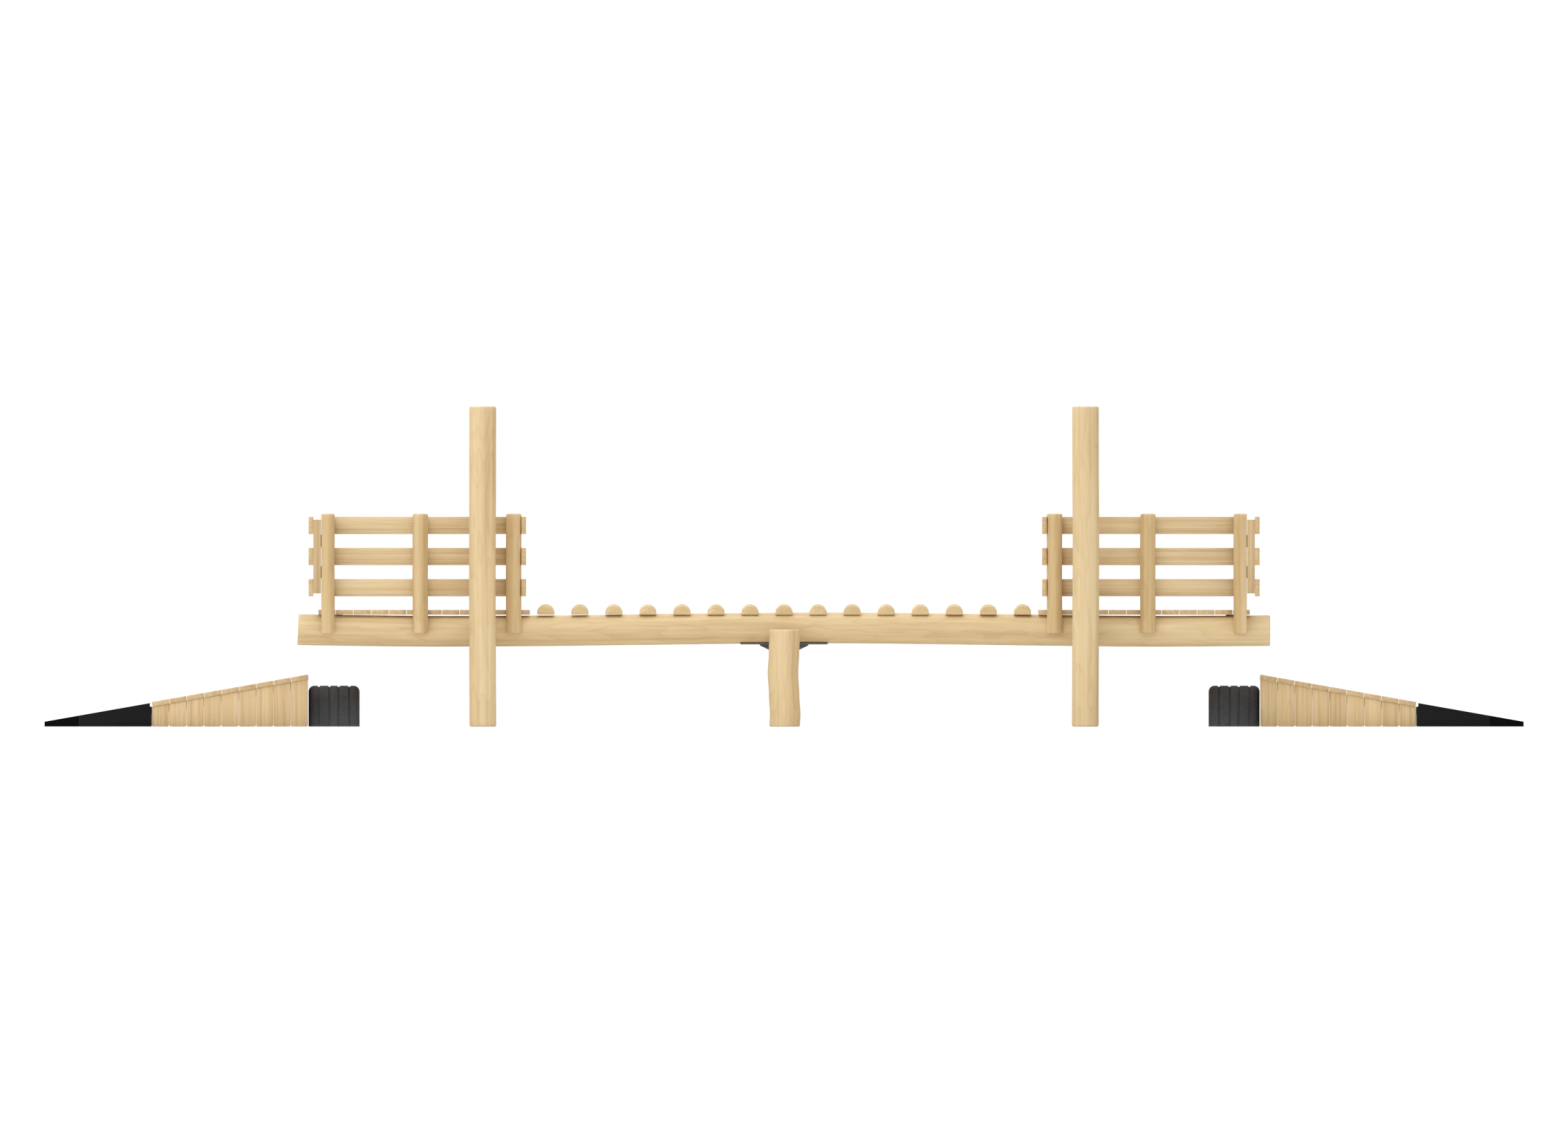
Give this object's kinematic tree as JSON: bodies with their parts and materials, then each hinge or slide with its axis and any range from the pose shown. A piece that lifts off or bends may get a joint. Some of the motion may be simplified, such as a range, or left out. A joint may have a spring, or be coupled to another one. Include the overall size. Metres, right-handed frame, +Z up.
{
  "type": "wheelchair seesaw",
  "caption": "Wheelchair seesaw of round logs: a tilting walkway on a steel axle with fenced decks, end gates, half-log steps, grab posts, buffer tyres and end ramps.",
  "frame": {"origin": "on the ground, under the middle of the axle", "axes": "+X along the logs to the right-hand ramp, +Y to the rear, where the gates are hinged, +Z up"},
  "size_m": [8.408, 1.9146, 1.82],
  "materials": {
    "log": "matte",
    "board": "matte",
    "ramp_rubber": "matte",
    "tyre_rubber": "matte",
    "bracket_steel": "satin",
    "galvanised_steel": "satin",
    "bush_plastic": "matte",
    "screw_steel": "satin"
  },
  "bodies": {
    "fixed_works": {"centre_post_front": "log", "grab_post_front_left": "log", "grab_post_front_right": "log", "centre_post_rear": "log", "grab_post_rear_left": "log", "grab_post_rear_right": "log", "buffer_tyre_left": "tyre_rubber", "ramp_deck_left": "board", "ramp_side_boards_left": "board", "ramp_stringers_left": "board", "rubber_wedge_left": "ramp_rubber", "rubber_toe_left": "ramp_rubber", "buffer_tyre_right": "tyre_rubber", "ramp_deck_right": "board", "ramp_side_boards_right": "board", "ramp_stringers_right": "board", "rubber_wedge_right": "ramp_rubber", "rubber_toe_right": "ramp_rubber", "axle": "galvanised_steel", "axle_collars": "galvanised_steel", "ramp_screws": "screw_steel"},
    "rocker": {"beam_front": "log", "pivot_bracket_front": "bracket_steel", "side_rails_front_left": "board", "side_rails_front_right": "board", "beam_rear": "log", "pivot_bracket_rear": "bracket_steel", "side_rails_rear_left": "board", "side_rails_rear_right": "board", "deck_boards_left": "board", "fence_posts_left": "log", "end_rails_left": "board", "deck_boards_right": "board", "fence_posts_right": "log", "end_rails_right": "board", "half_log_steps": "log", "bumper_joists": "board", "cross_joists": "board", "bearing_bushes": "bush_plastic", "bracket_screws": "screw_steel", "deck_screws": "screw_steel", "step_screws": "screw_steel", "fence_screws": "screw_steel", "post_bolts": "galvanised_steel", "post_hinge_leaves": "galvanised_steel", "hinge_pins": "galvanised_steel", "latch_keepers": "galvanised_steel"},
    "gate_left": {"gate_boards_left": "board", "gate_battens_left": "board", "gate_hinge_leaves_left": "galvanised_steel", "latch_housing_left": "galvanised_steel", "gate_screws_left": "screw_steel"},
    "latch_left": {"latch_bolt_left": "galvanised_steel"},
    "gate_right": {"gate_boards_right": "board", "gate_battens_right": "board", "gate_hinge_leaves_right": "galvanised_steel", "latch_housing_right": "galvanised_steel", "gate_screws_right": "screw_steel"},
    "latch_right": {"latch_bolt_right": "galvanised_steel"}
  },
  "joints": [
    {"name": "rocker_tilt", "type": "hinge", "parent": "fixed_works", "child": "rocker", "pos_m": [0, 0, 0.395], "axis": [0, 1, 0], "range_deg": [-8, 8]},
    {"name": "gate_left_swing", "type": "hinge", "parent": "rocker", "child": "gate_left", "pos_m": [-2.632, 0.77379, 0.9665], "axis": [0, 0, -1], "range_deg": [0, 100]},
    {"name": "latch_left_slide", "type": "slide", "parent": "gate_left", "child": "latch_left", "axis": [0, 0, 1], "range_m": [-0.025, 0]},
    {"name": "gate_right_swing", "type": "hinge", "parent": "rocker", "child": "gate_right", "pos_m": [2.632, 0.77379, 0.9665], "axis": [0, 0, 1], "range_deg": [0, 100]},
    {"name": "latch_right_slide", "type": "slide", "parent": "gate_right", "child": "latch_right", "axis": [0, 0, 1], "range_m": [-0.025, 0]}
  ]
}
